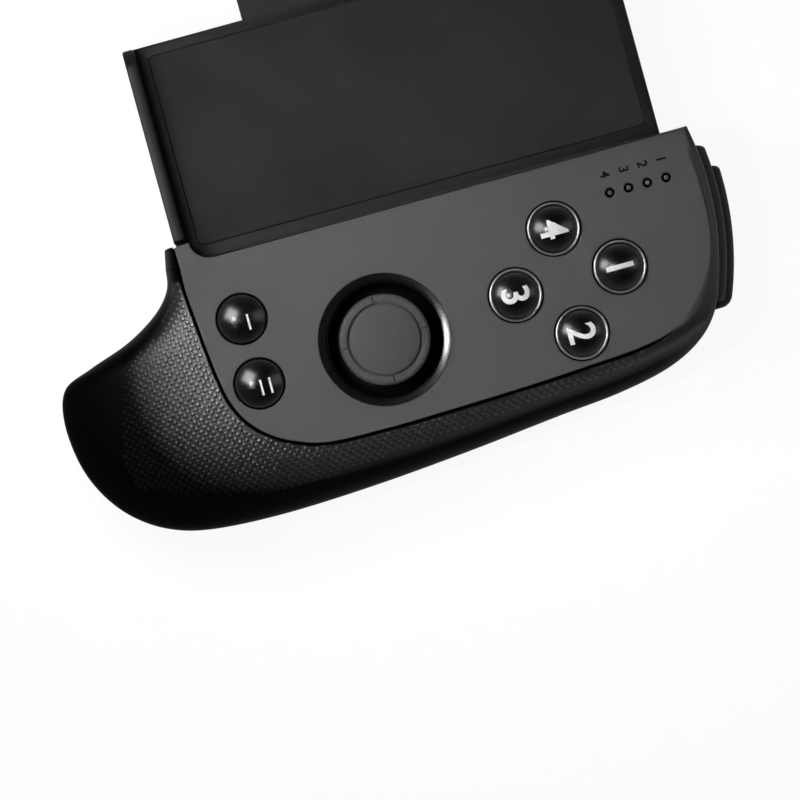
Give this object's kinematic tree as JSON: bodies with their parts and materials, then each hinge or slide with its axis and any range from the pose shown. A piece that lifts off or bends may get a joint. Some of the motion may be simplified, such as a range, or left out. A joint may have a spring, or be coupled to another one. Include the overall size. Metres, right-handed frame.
{
  "type": "mobile game controller",
  "caption": "One-handed phone game controller with a thumbstick, round buttons, a shoulder button and trigger, a dotted grip handle and a sprung sliding clamp for the phone.",
  "frame": {"origin": "middle of the end stop's face, where the phone's end bears on the body", "axes": "+X towards the shoulder buttons, +Y along the phone towards the clamp jaw, +Z out of the control face"},
  "size_m": [0.1059, 0.157, 0.0281],
  "materials": {
    "shell": "satin black moulded plastic",
    "faceplate": "fine matt dark grey",
    "frame_plastic": "plain moulded",
    "board": "solder mask",
    "battery": "foil pouch",
    "sheet_metal": "pressed sheet",
    "dark_screw": "black oxide",
    "steel": "ground",
    "spring_steel": "drawn wire",
    "bowl": "satin black",
    "cap_rubber": "matt moulded rubber",
    "pale_plastic": "plain moulded",
    "switch": "plain moulded",
    "button": "polished black",
    "plated_ring": "bright plating",
    "silicone": "matt silicone",
    "lens": "clear diffuser",
    "chip": "cast resin",
    "shoulder": "satin gloss black",
    "tray": "satin black",
    "soft_pad": "matt soft rubber"
  },
  "bodies": {
    "case": {"front_shell": "shell", "rear_shell": "shell", "faceplate": "faceplate", "chassis": "frame_plastic", "main_board": "board", "lower_board": "board", "battery": "battery", "charge_socket": "sheet_metal", "case_screws": "dark_screw", "stick_bowl": "bowl", "stick_housing": "sheet_metal", "click_switch": "switch", "face_dome_up": "silicone", "face_dome_left": "silicone", "face_dome_down": "silicone", "face_dome_right": "silicone", "menu_dome_left": "silicone", "menu_dome_right": "silicone", "light_lenses": "lens", "light_chips": "chip", "shoulder_pin": "steel", "shoulder_switch": "switch", "trigger_pin": "steel", "trigger_spring": "spring_steel", "shoulder_bracket": "frame_plastic", "phone_tray": "tray", "tray_cover": "tray", "tray_pad": "soft_pad", "tray_screws": "dark_screw", "end_stop_pad": "soft_pad", "clamp_spring": "spring_steel", "stop_pin": "steel"},
    "gimbal": {"gimbal_ring": "pale_plastic"},
    "hub": {"stick_hub": "pale_plastic"},
    "stick": {"stick_shaft": "steel", "stick_dome": "bowl", "stick_cap": "cap_rubber"},
    "face_up": {"face_button_up": "button", "face_ring_up": "plated_ring"},
    "face_left": {"face_button_left": "button", "face_ring_left": "plated_ring"},
    "face_down": {"face_button_down": "button", "face_ring_down": "plated_ring"},
    "face_right": {"face_button_right": "button", "face_ring_right": "plated_ring"},
    "menu_left": {"menu_button_left": "button"},
    "menu_right": {"menu_button_right": "button"},
    "shoulder": {"shoulder_button": "shoulder"},
    "trigger": {"trigger": "shoulder"},
    "clamp": {"clamp_slider": "sheet_metal", "clamp_jaw": "tray", "jaw_pad": "soft_pad", "jaw_screws": "dark_screw"}
  },
  "joints": [
    {"name": "stick_tilt_x", "type": "hinge", "parent": "case", "child": "gimbal", "pos_m": [-0.0124, -0.0194, -0.006], "axis": [1, 0, 0], "range_deg": [-13, 13], "stiffness_Nm_per_rad": 0.02},
    {"name": "stick_tilt_y", "type": "hinge", "parent": "gimbal", "child": "hub", "pos_m": [-0.0124, -0.0194, -0.006], "axis": [0, 1, 0], "range_deg": [-13, 13], "stiffness_Nm_per_rad": 0.02},
    {"name": "stick_press", "type": "slide", "parent": "hub", "child": "stick", "axis": [0, 0, -1], "range_m": [0, 0.0004], "stiffness_N_per_m": 1500, "springref_m": -0.0006},
    {"name": "face_up_press", "type": "slide", "parent": "case", "child": "face_up", "axis": [0, 0, -1], "range_m": [0, 0.0012], "stiffness_N_per_m": 400, "springref_m": -0.001, "deforming": ["face_dome_up"]},
    {"name": "face_left_press", "type": "slide", "parent": "case", "child": "face_left", "axis": [0, 0, -1], "range_m": [0, 0.0012], "stiffness_N_per_m": 400, "springref_m": -0.001, "deforming": ["face_dome_left"]},
    {"name": "face_down_press", "type": "slide", "parent": "case", "child": "face_down", "axis": [0, 0, -1], "range_m": [0, 0.0012], "stiffness_N_per_m": 400, "springref_m": -0.001, "deforming": ["face_dome_down"]},
    {"name": "face_right_press", "type": "slide", "parent": "case", "child": "face_right", "axis": [0, 0, -1], "range_m": [0, 0.0012], "stiffness_N_per_m": 400, "springref_m": -0.001, "deforming": ["face_dome_right"]},
    {"name": "menu_left_press", "type": "slide", "parent": "case", "child": "menu_left", "axis": [0, 0, -1], "range_m": [0, 0.0008], "stiffness_N_per_m": 500, "springref_m": -0.0008, "deforming": ["menu_dome_left"]},
    {"name": "menu_right_press", "type": "slide", "parent": "case", "child": "menu_right", "axis": [0, 0, -1], "range_m": [0, 0.0008], "stiffness_N_per_m": 500, "springref_m": -0.0008, "deforming": ["menu_dome_right"]},
    {"name": "shoulder_press", "type": "hinge", "parent": "case", "child": "shoulder", "pos_m": [0.0332, -0.0248, -0.0015], "axis": [0, 0, 1], "range_deg": [0, 3.4], "stiffness_Nm_per_rad": 0.3, "springref_deg": -2.86},
    {"name": "trigger_pull", "type": "hinge", "parent": "case", "child": "trigger", "pos_m": [0.038, -0.0158, -0.0069], "axis": [0, 1, 0], "range_deg": [0, 14], "stiffness_Nm_per_rad": 0.06, "springref_deg": -11.46, "deforming": ["trigger_spring"]},
    {"name": "clamp_slide", "type": "slide", "parent": "case", "child": "clamp", "axis": [0, 1, 0], "range_m": [0, 0.056], "stiffness_N_per_m": 60, "springref_m": -0.03, "deforming": ["clamp_spring"]}
  ]
}
